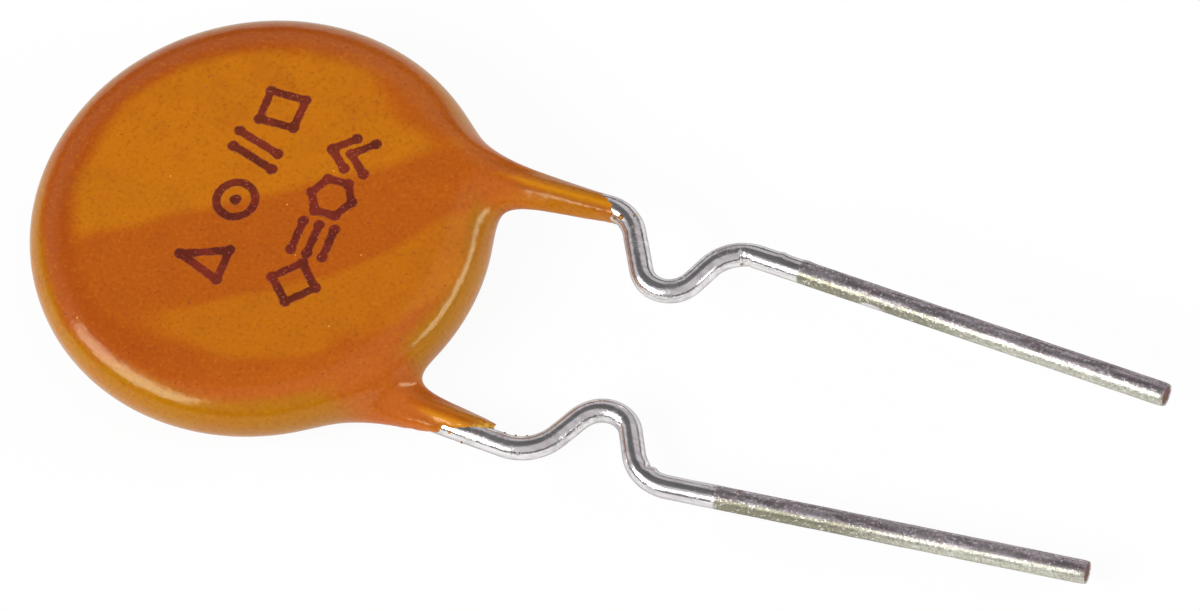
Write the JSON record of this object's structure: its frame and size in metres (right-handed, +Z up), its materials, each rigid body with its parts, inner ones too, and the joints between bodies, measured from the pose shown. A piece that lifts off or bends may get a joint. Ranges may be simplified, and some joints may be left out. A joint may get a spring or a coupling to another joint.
{
  "type": "resettable fuse",
  "caption": "Radial-leaded polymer resettable fuse: a dipped orange-brown epoxy disc with two kinked tinned wire leads.",
  "frame": {"origin": "centre of the coat's flat rear face, on the surface that the fuse lies on", "axes": "+X along the leads to their tips, +Y toward the front lead, +Z up through the disc to its marked face"},
  "size_m": [0.0252, 0.01, 0.002],
  "materials": {
    "epoxy": "glossy orange-brown dipped epoxy",
    "conductive_polymer": "carbon-filled black polymer",
    "nickel_foil": "matt nickel foil",
    "solder": "satin solder",
    "tinned_wire": "bright tin on copper wire, duller toward the tips"
  },
  "bodies": {
    "root": {"epoxy_coating": "epoxy", "polymer_disc": "conductive_polymer", "front_electrode": "nickel_foil", "rear_electrode": "nickel_foil", "front_solder": "solder", "rear_solder": "solder", "front_lead": "tinned_wire", "rear_lead": "tinned_wire"}
  },
  "joints": []
}
